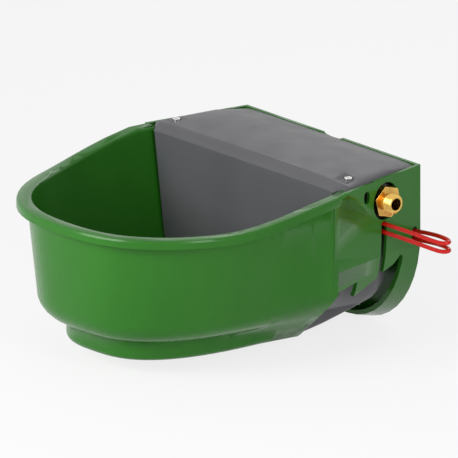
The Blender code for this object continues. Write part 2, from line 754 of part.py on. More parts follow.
def make_tank():
    """The grey rear tub. Its tongue reaches into the bowl, inside the gasket."""
    tank = loft("float_tank", tank_rings(0, TANK_TOP, FIT_GAP), GREY)
    step = BOWL_WALL + GASKET_THICKNESS + 2 * FIT_GAP
    hollow = loft("tank_hollow", tank_rings(TANK_WALL, TANK_TOP + OVERRUN, 2 * TANK_WALL))
    combine(tank, "DIFFERENCE", hollow)
    end = 3 * TANK_WALL
    combine(tank, "UNION", joint_band("tongue", step, -TONGUE_LENGTH, end, TANK_TOP))
    start = -TONGUE_LENGTH - OVERRUN
    inner = joint_band("tongue_hollow", step + TANK_WALL, start, end + CLEARANCE, TANK_TOP + OVERRUN)
    combine(tank, "DIFFERENCE", inner)
    reach = 2 * RIM_HALF_WIDTH
    hole = rod("tank_inlet_cutter", (0, INLET_Y, INLET_Z), THREAD_RADIUS + FIT_GAP, 2 * reach, "X", 32)
    for side in (-1, 1):
        x = side * (PAD_INNER_X + PAD_FACE_X) / 2
        pad = rod(f"pad_{side}", (x, INLET_Y, INLET_Z), PAD_RADIUS, PAD_FACE_X - PAD_INNER_X, "X", 36)
        combine(tank, "UNION", pad)
        x = side * (PAD_INNER_X - LOCKNUT_THICKNESS)
        place = (x, INLET_Y, INLET_Z)
        seat = rod(f"nut_seat_{side}", place, PAD_RADIUS - FIT_GAP, 2 * LOCKNUT_THICKNESS, "X", 36)
        combine(tank, "DIFFERENCE", seat)
    for side in (-1, 1):
        place = (side * LOCK_X, LOCK_Y, POST_TOP - POST_HEIGHT / 2)
        combine(tank, "UNION", rod(f"post_{side}", place, POST_RADIUS, POST_HEIGHT, "Z", 24))
        top = (*place[:2], POST_TOP)
        shank_hole = rod(f"lock_hole_{side}", top, LOCK_SHANK_RADIUS + FIT_GAP, 2 * LOCK_LENGTH, "Z", 16)
        combine(tank, "DIFFERENCE", shank_hole)
    combine(tank, "DIFFERENCE", hole)
    for k, (x, z) in enumerate(tank_screw_places()):
        start, end = TANK_REAR_Y - TANK_WALL / 2, -3 * SHELL_WALL / 2 - FIT_GAP
        boss = rod(f"tank_boss_{k}", (x, (start + end) / 2, z), TANK_BOSS_RADIUS, end - start, "Y", 20)
        combine(tank, "UNION", boss)
        deep = SCREW_LENGTH + FIT_GAP
        place = (x, -SCREW_HEAD_HEIGHT - deep / 2, z)
        combine(tank, "DIFFERENCE", rod(f"boss_hole_{k}", place, SCREW_RADIUS + FIT_GAP, deep, "Y", 16))
    return tank


def joint_band(name, inset, start, end, top, material=None):
    """A band of the bowl's inner section that follows the leaning joint from start to end."""
    section = tank_section(inset)

    def place_at(offset):
        def place(x, z):
            y = joint_y(z) + offset
            return (x * narrowing(y), y, z)
        return place

    first = math.ceil(start / JOINT_STATION + STATION_MARGIN_SHARE)
    last = math.floor(end / JOINT_STATION - STATION_MARGIN_SHARE)
    offsets = [start, *[k * JOINT_STATION for k in range(first, last + 1)], end]
    return loft(name, [tank_ring(section, place_at(offset), top) for offset in offsets], material)


def make_gasket():
    """A rubber U between the bowl's inside and the tank's tongue."""
    inset = BOWL_WALL + FIT_GAP
    band = joint_band("tank_gasket", inset, CLEARANCE - TONGUE_LENGTH, -CLEARANCE, TANK_TOP, RUBBER)
    start = -TONGUE_LENGTH - OVERRUN
    hollow = joint_band("gasket_hollow", inset + GASKET_THICKNESS, start, OVERRUN, TANK_TOP + OVERRUN)
    return combine(band, "DIFFERENCE", hollow)


def width_at(section, height):
    """Half width of a section at one height."""
    for (x1, z1), (x2, z2) in zip(section, section[1:]):
        if z1 <= height <= z2:
            return blend(x1, x2, (height - z1) / (z2 - z1))
    raise ValueError(f"the section has no height {height}")


def cover_ring(y, half, crown, low, inset=0.0):
    """Cover outline at one depth: flat crown, rounded shoulders, straight sides down to a skirt."""
    half = half - inset
    edge = min(TOP - COVER_EDGE_DROP, crown - CLEARANCE) - inset
    crown = crown - inset
    right = [(half, low)]
    for share in SHOULDER_SHARES:
        height = math.sqrt(max(1 - share ** SHOULDER_POWER, 0))
        right.append((half * share, blend(edge, crown, height)))
    left = [(-x, z) for x, z in right]
    return [Vector((x, y, z)) for x, z in [*left, *right[::-1]]]


def make_cover():
    """The grey lid with its divider plate, which hangs down into the bowl and shields the float."""
    skirt = TOP - COVER_SKIRT
    brow = TOP - COVER_BROW_DROP
    crown = TOP + COVER_CROWN
    fit = SHELL_WALL + COVER_CLEARANCE
    under = brow - COVER_WALL / 2
    rises = [blend(brow, crown, share) for share in COVER_RISE_SHARES]
    stations = [
        (COVER_FRONT_Y, COVER_FRONT_HALF_WIDTH, brow + CLEARANCE / 2, under),
        (RIM_END_Y - CLEARANCE, COVER_FRONT_HALF_WIDTH + COVER_CLEARANCE, rises[0], under),
        (RIM_END_Y + 3 * CLEARANCE, cheek_half_width(RIM_END_Y) - 2 * fit, rises[1], under),
    ]
    for y, height, low in (
        (RIM_END_Y + COVER_SKIRT, rises[2], under),
        (RIM_END_Y + COVER_SKIRT + CLEARANCE, rises[2], skirt),
        (COVER_BROW_Y, crown - CLEARANCE, skirt),
        (COVER_CROWN_Y, crown, skirt),
        (COVER_FALL_Y, TOP + COVER_FALL_RISE, skirt),
        (COVER_REAR_Y, TOP, skirt),
    ):
        stations.append((y, cheek_half_width(y) - fit, height, low))
    cover = loft("valve_cover", [cover_ring(*station) for station in stations], GREY)
    inner = []
    for k, (y, half, height, low) in enumerate(stations):
        y += COVER_WALL if k == 0 else 0
        y -= COVER_WALL if k == len(stations) - 1 else 0
        inner.append(cover_ring(y, half, height, low - OVERRUN, COVER_WALL))
    combine(cover, "DIFFERENCE", loft("cover_hollow", inner))
    share = narrowing(COVER_FRONT_Y + COVER_WALL)
    section = [(a * share, z) for a, z in tank_section(DIVIDER_INSET)]
    right = [(width_at(section, DIVIDER_FOOT_Z) - CLEARANCE, DIVIDER_FOOT_Z)]
    right += [point for point in section if DIVIDER_FOOT_Z < point[1] < DIVIDER_STEP_Z]
    low_x = width_at(section, DIVIDER_STEP_Z)
    right.append((low_x, DIVIDER_STEP_Z))
    top_z = brow - COVER_WALL / 4
    right.append((low_x + DIVIDER_STEP, DIVIDER_STEP_Z + DIVIDER_STEP))
    right.append((COVER_FRONT_HALF_WIDTH - COVER_CLEARANCE, top_z))
    outline = [*[(-x, z) for x, z in right[::-1]], *right]
    plate = prism("divider", outline, COVER_FRONT_Y, COVER_FRONT_Y + COVER_WALL, "Y")
    combine(cover, "UNION", plate)
    top = TOP + LOCK_HEAD_RISE - FIT_GAP
    for side in (-1, 1):
        spot = (side * LOCK_X, LOCK_Y)
        place = (*spot, top - COVER_WALL)
        combine(cover, "UNION", rod(f"lock_seat_{side}", place, LOCK_SEAT_RADIUS, 2 * COVER_WALL, "Z", 24))
        place = (*spot, top + OVERRUN / 2)
        recess = rod(f"lock_recess_{side}", place, LOCK_HEAD_RADIUS + CLEARANCE, OVERRUN, "Z", 24)
        combine(cover, "DIFFERENCE", recess)
        through = rod(f"lock_pass_{side}", (*spot, TOP), LOCK_SHANK_RADIUS + FIT_GAP, 2 * OVERRUN, "Z", 16)
        combine(cover, "DIFFERENCE", through)
    return cover


def make_lock(name, side):
    """A quarter-turn lock with a screwdriver slot in its head."""
    under = TOP + LOCK_HEAD_RISE
    place = (side * LOCK_X, LOCK_Y)
    middle = (*place, under + LOCK_HEAD_HEIGHT / 2)
    lock = rod(name, middle, LOCK_HEAD_RADIUS, LOCK_HEAD_HEIGHT, "Z", 24, material=STEEL)
    middle = (*place, under + CLEARANCE - LOCK_LENGTH / 2)
    combine(lock, "UNION", rod(f"{name}_shank", middle, LOCK_SHANK_RADIUS, LOCK_LENGTH, "Z", 16))
    half = (LOCK_HEAD_RADIUS * 2, FIT_GAP * 2)
    low = (place[0] - half[0], place[1] - half[1], under + CLEARANCE)
    high = (place[0] + half[0], place[1] + half[1], under + OVERRUN)
    return combine(lock, "DIFFERENCE", block(f"{name}_slot", low, high))


def hexagon(name, start, end, across, material=None):
    """A hexagonal bar along X round the inlet's axis."""
    radius = across / math.sqrt(3)
    place = ((start + end) / 2, INLET_Y, INLET_Z)
    return rod(name, place, radius, abs(end - start), "X", 6, turn=math.radians(HEX_TURN), material=material)


def washer(name, start, end, radius, hole, material, axis="X", place=None):
    profile = [(hole, start), (radius, start), (radius, end), (hole, end)]
    place = place or (0, INLET_Y, INLET_Z)
    return turned(name, profile, place, axis, 32, material)


def make_inlet():
    """The threaded inlet at +X and the blanking plug at -X, each with a nut inside the tank."""
    face = PAD_FACE_X + FIT_GAP
    outer = face + WASHER_THICKNESS + FIT_GAP
    nipple = hexagon("inlet_nipple", outer, outer + HEX_LENGTH, HEX_ACROSS, BRASS)
    end = outer + HEX_LENGTH + THREAD_LENGTH
    place = ((THREAD_INNER_X + end) / 2, INLET_Y, INLET_Z)
    combine(nipple, "UNION", rod("nipple_thread", place, THREAD_RADIUS, end - THREAD_INNER_X, "X", 32))
    combine(nipple, "DIFFERENCE", rod("nipple_bore", place, BORE_RADIUS, 2 * (end - THREAD_INNER_X), "X", 32))
    hole = THREAD_RADIUS + FIT_GAP
    washer("inlet_washer", face, face + WASHER_THICKNESS, WASHER_RADIUS, hole, RUBBER)
    washer("plug_washer", -face - WASHER_THICKNESS, -face, WASHER_RADIUS, hole, RUBBER)
    plug = hexagon("blanking_plug", -outer - PLUG_HEAD_THICKNESS, -outer, HEX_ACROSS, GREY)
    inner = PAD_INNER_X - LOCKNUT_THICKNESS - CLEARANCE
    place = (-(inner + outer) / 2, INLET_Y, INLET_Z)
    combine(plug, "UNION", rod("plug_thread", place, THREAD_RADIUS, outer - inner + 2 * CLEARANCE, "X", 32))
    for name, side, material in (("inlet_locknut", 1, BRASS), ("plug_locknut", -1, GREY)):
        near = side * (PAD_INNER_X - FIT_GAP)
        nut = hexagon(name, near, near - side * LOCKNUT_THICKNESS, LOCKNUT_ACROSS, material)
        cut = rod(f"{name}_hole", (near, INLET_Y, INLET_Z), hole, 3 * LOCKNUT_THICKNESS, "X", 32)
        combine(nut, "DIFFERENCE", cut)


def make_valve():
    """Valve body on the inlet's inner end, with nozzle, sealed plunger and a fork for the float arm."""
    place = (0, INLET_Y, INLET_Z)
    end = VALVE_START_X + VALVE_BODY_LENGTH
    bore = NOZZLE_RADIUS + FIT_GAP + CLEARANCE / 10
    profile = [
        (bore, VALVE_START_X),
        (VALVE_BODY_RADIUS, VALVE_START_X),
        (VALVE_BODY_RADIUS, end),
        (THREAD_RADIUS + FIT_GAP, end),
        (THREAD_RADIUS + FIT_GAP, SEAT_X),
        (bore, SEAT_X),
    ]
    body = turned("valve_body", profile, place, "X", 32, BRASS)
    pin_z = INLET_Z - FORK_DROP
    low_z = pin_z - FORK_FOOT
    outline = [
        (PIN_X - FORK_FOOT, low_z),
        (PIN_X + FORK_FOOT, low_z),
        (VALVE_START_X + FORK_HOLD, INLET_Z - VALVE_BODY_RADIUS + CLEARANCE),
        (VALVE_START_X + FORK_HOLD, INLET_Z - FORK_HOLD),
        (VALVE_START_X - CLEARANCE, INLET_Z - FORK_HOLD),
        (PIN_X - FORK_FOOT, pin_z + FORK_FOOT),
    ]
    for side in (-1, 1):
        near = INLET_Y + side * FORK_GAP / 2
        combine(body, "UNION", prism(f"fork_{side}", outline, near, near + side * FORK_WALL, "Y"))
    pin = (PIN_X, INLET_Y, pin_z)
    combine(body, "DIFFERENCE", rod("pin_hole", pin, PIN_RADIUS + FIT_GAP, 2 * OVERRUN, "Y", 16))
    outlet_end = SEAT_X - 2 * SEAL_THICKNESS
    half = OUTLET_LENGTH / 2
    low = (outlet_end - OUTLET_LENGTH, INLET_Y - half, INLET_Z - 2 * VALVE_BODY_RADIUS)
    high = (outlet_end, INLET_Y + half, INLET_Z)
    combine(body, "DIFFERENCE", block("outlet", low, high))
    nozzle_end = SEAT_X + NOZZLE_STAND
    nozzle_start = nozzle_end - NOZZLE_LENGTH
    washer("valve_nozzle", nozzle_start, nozzle_end, NOZZLE_RADIUS, NOZZLE_BORE_RADIUS, WHITE)
    seal_end = nozzle_start - FIT_GAP
    seal = (seal_end - SEAL_THICKNESS / 2, INLET_Y, INLET_Z)
    rod("plunger_seal", seal, PLUNGER_RADIUS - CLEARANCE, SEAL_THICKNESS, "X", 32, material=RUBBER)
    plunger_end = seal_end - SEAL_THICKNESS - FIT_GAP
    tip = plunger_end - PLUNGER_LENGTH
    radius = PLUNGER_RADIUS - CLEARANCE / 4
    profile = [
        (0, tip),
        (PLUNGER_TIP_RADIUS, tip),
        (radius, tip + PLUNGER_CONE),
        (radius, plunger_end),
        (0, plunger_end),
    ]
    turned("valve_plunger", profile, place, "X", 32, WHITE)
    pin_length = FORK_GAP + 2 * FORK_WALL + 2 * CLEARANCE
    rod("arm_pin", pin, PIN_RADIUS, pin_length, "Y", 16, material=STEEL)
    make_arm(pin, tip - FIT_GAP)


def make_arm(pin, finger_x):
    """The lever: a hub on the pin, a finger behind the plunger and a bar out to the float's stud."""
    arm = rod("float_arm", pin, HUB_RADIUS, ARM_WIDTH, "Y", 24, material=BRASS)
    low, high = INLET_Y - ARM_WIDTH / 2, INLET_Y + ARM_WIDTH / 2
    finger = [
        (finger_x - ARM_THICKNESS, pin[2] - HUB_RADIUS / 2),
        (pin[0], pin[2] - HUB_RADIUS / 2),
        (finger_x, INLET_Z - PLUNGER_RADIUS),
        (finger_x, INLET_Z + HUB_RADIUS),
        (finger_x - ARM_THICKNESS, INLET_Z + HUB_RADIUS),
    ]
    combine(arm, "UNION", prism("arm_finger", finger, low, high, "Y"))
    base = TOP - ARM_FOOT_DROP
    bar = [
        (FLOAT_X + HUB_RADIUS, base),
        (pin[0], pin[2] - HUB_RADIUS + CLEARANCE),
        (pin[0], pin[2] + HUB_RADIUS / 2),
        (FLOAT_X + HUB_RADIUS, base + ARM_THICKNESS),
    ]
    combine(arm, "UNION", prism("arm_bar", bar, low + CLEARANCE, high - CLEARANCE, "Y"))
    place = (FLOAT_X, INLET_Y, base + ARM_THICKNESS / 2)
    combine(arm, "UNION", rod("arm_eye", place, 2 * HUB_RADIUS, ARM_THICKNESS, "Z", 24))
    hole = FLOAT_STUD_RADIUS + FIT_GAP
    combine(arm, "DIFFERENCE", rod("eye_hole", place, hole, 3 * ARM_THICKNESS, "Z", 16))
    combine(arm, "DIFFERENCE", rod("hub_hole", pin, PIN_RADIUS + FIT_GAP, 2 * ARM_WIDTH, "Y", 16))
    make_float(base)


def make_float(arm_base):
    """The white float, its stud through the arm's eye and the nut on top."""
    top = arm_base - FIT_GAP - FLOAT_NECK
    low = top - FLOAT_HEIGHT
    profile = [(0, low)]
    for k in range(ROUND_STEPS + 1):
        angle = math.pi / 2 * k / ROUND_STEPS
        r = FLOAT_RADIUS - FLOAT_ROUND * (1 - math.sin(angle))
        profile.append((r, low + FLOAT_ROUND * (1 - math.cos(angle))))
    for r, h in profile[:0:-1]:
        profile.append((r, low + top - h))
    neck = 2 * FLOAT_STUD_RADIUS
    stud = arm_base + ARM_THICKNESS + FLOAT_NUT_THICKNESS + 2 * CLEARANCE
    profile += [(neck, top), (neck, arm_base - FIT_GAP), (FLOAT_STUD_RADIUS, arm_base - FIT_GAP)]
    profile += [(FLOAT_STUD_RADIUS, stud), (0, stud)]
    turned("float", profile, (FLOAT_X, INLET_Y, 0), "Z", 40, WHITE)
    under = arm_base + ARM_THICKNESS + FIT_GAP
    place = (FLOAT_X, INLET_Y, under + FLOAT_NUT_THICKNESS / 2)
    radius = FLOAT_NUT_ACROSS / math.sqrt(3)
    nut = rod("float_nut", place, radius, FLOAT_NUT_THICKNESS, "Z", 6, material=STEEL)
    hole = FLOAT_STUD_RADIUS + FIT_GAP
    combine(nut, "DIFFERENCE", rod("float_nut_hole", place, hole, 3 * FLOAT_NUT_THICKNESS, "Z", 16))


def make_tank_screws():
    """Four screws from the back, whose heads lie just below the back face."""
    head_y = -FIT_GAP - SCREW_HEAD_HEIGHT / 2
    shank_y = head_y - SCREW_LENGTH / 2
    for k, (x, z) in enumerate(tank_screw_places(), 1):
        place = (x, head_y, z)
        screw = rod(f"tank_screw_{k}", place, SCREW_HEAD_RADIUS, SCREW_HEAD_HEIGHT, "Y", 20, material=STEEL)
        shank = rod(f"screw_shank_{k}", (x, shank_y, z), SCREW_RADIUS, SCREW_LENGTH, "Y", 16)
        combine(screw, "UNION", shank)


def smooth_path(points, steps):
    """A curve through every point, with steps pieces between two of them."""
    points = [Vector(point) * MM for point in points]
    ends = [2 * points[0] - points[1], *points, 2 * points[-1] - points[-2]]
    path = []
    for p0, p1, p2, p3 in zip(ends, ends[1:], ends[2:], ends[3:]):
        for k in range(steps):
            t = k / steps
            bend = 2 * p0 - 5 * p1 + 4 * p2 - p3
            twist = 3 * p1 - p0 - 3 * p2 + p3
            path.append((2 * p1 + (p2 - p0) * t + bend * t ** 2 + twist * t ** 3) / 2)
    return [*path, points[-1]]


def make_bail():
    """Two turns of red wire through the slot, out past the inlet and back in round the rear corner."""
    second = [(x, y, z - TURN_PITCH / MM) for x, y, z in WIRE_TURN[1:]]
    points = smooth_path([*WIRE_TURN, *WIRE_RETURN, *second], 3)
    curve = bpy.data.curves.new("red_wire_bail", "CURVE")
    curve.dimensions = "3D"
    curve.bevel_depth = WIRE_RADIUS
    curve.bevel_resolution = 2
    curve.use_fill_caps = True
    line = curve.splines.new("POLY")
    line.points.add(len(points) - 1)
    for spot, point in zip(line.points, points):
        spot.co = (*point, 1)
    curve.materials.append(RED)
    PARTS.objects.link(bpy.data.objects.new("red_wire_bail", curve))


make_shell()
make_tank()
make_gasket()
make_cover()
make_lock("cover_lock_right", 1)
make_lock("cover_lock_left", -1)
make_inlet()
make_valve()
make_tank_screws()
make_bail()
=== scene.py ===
# %% [markdown]
# A wall-hung drinking bowl for cattle and horses, dressed for its picture. The solid model gives every
# piece its place and size. This file gives the pieces their finish: glossy dark green moulded plastic,
# satin grey plastic, turned brass, bright steel, rubber and red coated wire. Each step says what the
# piece is on the real bowl, and why it is made the way it is.

# %% Load the solid model and keep its box
import json
import math

import bpy
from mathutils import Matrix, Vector


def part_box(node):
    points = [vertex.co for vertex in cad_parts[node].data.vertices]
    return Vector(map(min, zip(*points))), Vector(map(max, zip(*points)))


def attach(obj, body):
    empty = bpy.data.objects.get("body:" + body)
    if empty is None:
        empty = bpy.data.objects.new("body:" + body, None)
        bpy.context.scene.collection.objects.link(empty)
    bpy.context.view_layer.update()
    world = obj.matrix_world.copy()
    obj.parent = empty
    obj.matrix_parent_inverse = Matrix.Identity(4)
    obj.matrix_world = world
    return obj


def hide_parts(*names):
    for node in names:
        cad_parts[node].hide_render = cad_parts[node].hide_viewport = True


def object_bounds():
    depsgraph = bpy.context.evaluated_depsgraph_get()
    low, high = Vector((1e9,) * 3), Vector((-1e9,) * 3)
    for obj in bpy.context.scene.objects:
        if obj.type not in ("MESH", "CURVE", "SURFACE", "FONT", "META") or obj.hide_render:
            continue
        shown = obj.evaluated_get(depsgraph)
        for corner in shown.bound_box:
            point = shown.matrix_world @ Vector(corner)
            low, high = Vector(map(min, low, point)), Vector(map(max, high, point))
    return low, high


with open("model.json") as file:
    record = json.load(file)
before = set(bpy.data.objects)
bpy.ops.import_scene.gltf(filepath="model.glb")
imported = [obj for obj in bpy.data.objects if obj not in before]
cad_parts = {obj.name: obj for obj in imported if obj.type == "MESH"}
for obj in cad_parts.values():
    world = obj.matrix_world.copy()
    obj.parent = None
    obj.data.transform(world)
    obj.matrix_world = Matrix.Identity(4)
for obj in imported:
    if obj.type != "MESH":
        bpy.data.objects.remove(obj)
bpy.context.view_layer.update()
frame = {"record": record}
MM = 0.001

# %% [markdown]
# Many steps need the same small tools. An operator acts on all that is selected, so one of them makes a
# single object the selected and active one. The other moves an object's place into its mesh, which is where
# the solids have theirs.

# %% Small tools for selecting and placing


def select_only(obj):
    """Makes one object the only selected and active one."""
    bpy.ops.object.select_all(action="DESELECT")
    obj.select_set(True)
    bpy.context.view_layer.objects.active = obj
    return obj


def bake_place(obj):
    """Moves an object's place into its mesh, so that it sits at the origin."""
    select_only(obj)
    bpy.ops.object.transform_apply(location=True, rotation=True, scale=True)
    return obj


# %% [markdown]
# Moulded plastic is never perfectly even. Its colour drifts a little with the flow of the melt, its polish
# changes from patch to patch, and the mould leaves a fine grain. One node group makes all three for every
# plastic, so that each material only states between which values they change.

# %% Node group for moulded plastic


def new_group(name, inputs, outputs):
    """An empty shader group with named sockets, as (name, kind, default)."""
    tree = bpy.data.node_groups.new(name, "ShaderNodeTree")
    for label, kind, default in inputs:
        socket = tree.interface.new_socket(label, in_out="INPUT", socket_type=kind)
        socket.default_value = default
    for label, kind in outputs:
        tree.interface.new_socket(label, in_out="OUTPUT", socket_type=kind)
    start = tree.nodes.new("NodeGroupInput")
    end = tree.nodes.new("NodeGroupOutput")
    return tree, start, end


def add_noise(tree, place, scale, detail, stretch=(1, 1, 1)):
    """A noise over the piece's own place, optionally stretched."""
    mapping = tree.nodes.new("ShaderNodeMapping")
    mapping.inputs["Scale"].default_value = stretch
    tree.links.new(place, mapping.inputs["Vector"])
    noise = tree.nodes.new("ShaderNodeTexNoise")
    noise.inputs["Scale"].default_value = scale
    noise.inputs["Detail"].default_value = detail
    tree.links.new(mapping.outputs["Vector"], noise.inputs["Vector"])
    return noise.outputs["Fac"]


def remap(tree, value, low, high, out_low, out_high):
    """Stretches a mask between two values."""
    node = tree.nodes.new("ShaderNodeMapRange")
    node.inputs["From Min"].default_value = low
    node.inputs["From Max"].default_value = high
    for label, given in (("To Min", out_low), ("To Max", out_high)):
        if hasattr(given, "links"):
            tree.links.new(given, node.inputs[label])
        else:
            node.inputs[label].default_value = given
    tree.links.new(value, node.inputs["Value"])
    return node.outputs["Result"]


# A Mix node has sockets for every kind of data. These are the places of the ones for colours.
MIX_SHARE = 0
MIX_FIRST = 6
MIX_SECOND = 7
MIX_RESULT = 2


def blend_colour(tree, first, second, share):
    """Mixes two colours by a mask."""
    node = tree.nodes.new("ShaderNodeMix")
    node.data_type = "RGBA"
    for index, given in ((MIX_FIRST, first), (MIX_SECOND, second), (MIX_SHARE, share)):
        tree.links.new(given, node.inputs[index])
    return node.outputs[MIX_RESULT]


SURFACE = [("Colour", "NodeSocketColor"), ("Roughness", "NodeSocketFloat"), ("Height", "NodeSocketFloat")]
MELT_SCALE = 9.0
MELT_DETAIL = 4.0
MELT_STRETCH = (1, 1, 0.4)
POLISH_SCALE = 28.0
POLISH_DETAIL = 5.0
GRAIN_SCALE = 900.0
GRAIN_DETAIL = 2.0
PATCH_LOW = 0.3
PATCH_HIGH = 0.7
plastic, given, made = new_group(
    "moulded_plastic",
    [
        ("Base", "NodeSocketColor", (0.1, 0.1, 0.1, 1)),
        ("Drift", "NodeSocketColor", (0.1, 0.1, 0.1, 1)),
        ("Smoothest", "NodeSocketFloat", 0.2),
        ("Roughest", "NodeSocketFloat", 0.3),
    ],
    SURFACE,
)
place = plastic.nodes.new("ShaderNodeTexCoord").outputs["Object"]
flow = add_noise(plastic, place, MELT_SCALE, MELT_DETAIL, MELT_STRETCH)
melt = remap(plastic, flow, PATCH_LOW, PATCH_HIGH, 0.0, 1.0)
colour = blend_colour(plastic, given.outputs["Base"], given.outputs["Drift"], melt)
polish = add_noise(plastic, place, POLISH_SCALE, POLISH_DETAIL)
rough = remap(plastic, polish, PATCH_LOW, PATCH_HIGH, given.outputs["Smoothest"], given.outputs["Roughest"])
plastic.links.new(colour, made.inputs["Colour"])
plastic.links.new(rough, made.inputs["Roughness"])
plastic.links.new(add_noise(plastic, place, GRAIN_SCALE, GRAIN_DETAIL), made.inputs["Height"])
print("group:", plastic.name, len(plastic.nodes), "nodes")

# %% [markdown]
# A material places a group, feeds its colour and roughness to the shader, and sends the relief through a
# Bump. The relief is weak on plastic, since a polished mould leaves almost no texture. The shader itself
# stays in the material, where its plain values, such as the strength of a highlight, are set.

# %% Plastic materials
GRAIN_DEPTH = 0.2 * MM
COAT_ROUGHNESS = 0.12


def group_material(name, surface, values, strength, depth):
    """A material whose colour, roughness and relief come from a node group, and its shader."""
    material = bpy.data.materials.new(name)
    material.use_nodes = True
    tree = material.node_tree
    shader = tree.nodes["Principled BSDF"]
    group = tree.nodes.new("ShaderNodeGroup")
    group.node_tree = surface
    for label, value in values.items():
        group.inputs[label].default_value = value
    bump = tree.nodes.new("ShaderNodeBump")
    bump.inputs["Strength"].default_value = strength
    bump.inputs["Distance"].default_value = depth
    tree.links.new(group.outputs["Height"], bump.inputs["Height"])
    tree.links.new(bump.outputs["Normal"], shader.inputs["Normal"])
    tree.links.new(group.outputs["Colour"], shader.inputs["Base Color"])
    tree.links.new(group.outputs["Roughness"], shader.inputs["Roughness"])
    return material, shader


def plastic_material(name, base, drift, polish, grain, shine=0.5, coat=0.0):
    """Moulded plastic between two colours and two roughnesses."""
    values = {"Base": (*base, 1), "Drift": (*drift, 1), "Smoothest": polish[0], "Roughest": polish[1]}
    material, shader = group_material(name, plastic, values, grain, GRAIN_DEPTH)
    shader.inputs["Specular IOR Level"].default_value = shine
    shader.inputs["Coat Weight"].default_value = coat
    shader.inputs["Coat Roughness"].default_value = COAT_ROUGHNESS
    return material


GREEN_GLOSS = plastic_material(
    "green_gloss", (0.020, 0.140, 0.010), (0.027, 0.168, 0.013),
    polish=(0.18, 0.28), grain=0.08, shine=0.2, coat=0.08,
)
GREY_SATIN = plastic_material(
    "grey_satin", (0.094, 0.094, 0.102), (0.112, 0.112, 0.120),
    polish=(0.36, 0.48), grain=0.22, shine=0.3,
)
GREY_DARK = plastic_material(
    "grey_plug", (0.060, 0.060, 0.064), (0.075, 0.075, 0.080),
    polish=(0.36, 0.50), grain=0.25, shine=0.3,
)
WHITE_PLAIN = plastic_material(
    "white_moulded", (0.72, 0.71, 0.67), (0.62, 0.61, 0.56),
    polish=(0.35, 0.5), grain=0.2,
)
RUBBER_BLACK = plastic_material(
    "black_seal", (0.016, 0.016, 0.017), (0.026, 0.026, 0.027),
    polish=(0.6, 0.8), grain=0.3, shine=0.3,
)
RED_COAT = plastic_material(
    "red_dip", (0.72, 0.010, 0.006), (0.60, 0.006, 0.004),
    polish=(0.16, 0.26), grain=0.12, shine=0.25, coat=0.15,
)
plastics = (GREEN_GLOSS, GREY_SATIN, GREY_DARK, WHITE_PLAIN, RUBBER_BLACK, RED_COAT)
print("plastics:", [material.name for material in plastics])

# %% [markdown]
# Brass and steel show how they were cut. A lathe leaves fine rings round the axis, and handling dulls the
# metal in soft stains. The second group makes the stains and the streaks, and puts out colour, roughness
# and height, so that brass and steel differ only in their values.

# %% Node group for worked metal
STAIN_SCALE = 60.0
STAIN_DETAIL = 4.0
STAIN_LOW = 0.48
STAIN_HIGH = 0.75
STREAK_SCALE = 220.0
STREAK_DETAIL = 2.0
STREAK_STRETCH = (6, 1, 1)
metal, given, made = new_group(
    "worked_metal",
    [
        ("Clean", "NodeSocketColor", (0.6, 0.4, 0.1, 1)),
        ("Stained", "NodeSocketColor", (0.3, 0.2, 0.08, 1)),
        ("Smoothest", "NodeSocketFloat", 0.2),
        ("Roughest", "NodeSocketFloat", 0.4),
    ],
    SURFACE,
)
place = metal.nodes.new("ShaderNodeTexCoord").outputs["Object"]
handling = add_noise(metal, place, STAIN_SCALE, STAIN_DETAIL)
stain = remap(metal, handling, STAIN_LOW, STAIN_HIGH, 0.0, 1.0)
colour = blend_colour(metal, given.outputs["Clean"], given.outputs["Stained"], stain)
rough = remap(metal, stain, 0.0, 1.0, given.outputs["Smoothest"], given.outputs["Roughest"])
streaks = add_noise(metal, place, STREAK_SCALE, STREAK_DETAIL, STREAK_STRETCH)
metal.links.new(colour, made.inputs["Colour"])
metal.links.new(rough, made.inputs["Roughness"])
metal.links.new(streaks, made.inputs["Height"])
print("group:", metal.name, len(metal.nodes), "nodes")

# %% Metal materials
STREAK_STRENGTH = 0.15
STREAK_DEPTH = 0.1 * MM


def metal_material(name, clean, stained, polish):
    """Worked metal between a clean and a stained colour."""
    values = {"Clean": (*clean, 1), "Stained": (*stained, 1), "Smoothest": polish[0], "Roughest": polish[1]}
    material, shader = group_material(name, metal, values, STREAK_STRENGTH, STREAK_DEPTH)
    shader.inputs["Metallic"].default_value = 1.0
    return material


BRASS = metal_material("turned_brass", (0.78, 0.50, 0.13), (0.48, 0.28, 0.07), polish=(0.22, 0.42))
STEEL = metal_material("bright_steel", (0.68, 0.68, 0.67), (0.45, 0.45, 0.44), polish=(0.18, 0.34))
print("metals:", BRASS.name, STEEL.name)

# %% [markdown]
# The solid model's meshes are loose triangles that look faceted, and they must not be changed. So a copy
# of each solid is merged at its corners and shaded smooth below an angle, which gives round walls soft
# light and keeps real edges sharp. Each copy stands for its solid and rides on the same body.

# %% Smooth copies of the moulded and turned pieces
SOFT_ANGLE = math.radians(32)
FLAT_ANGLE = math.radians(0.5)
MERGE_DISTANCE = 0.01 * MM
TANK_SCREWS = 4


def body_with(node):
    """The name of the body that a node belongs to."""
    for body, nodes in frame["record"]["behaviour"]["bodies"].items():
        if node in nodes:
            return body
    raise ValueError(f"no body holds {node}")


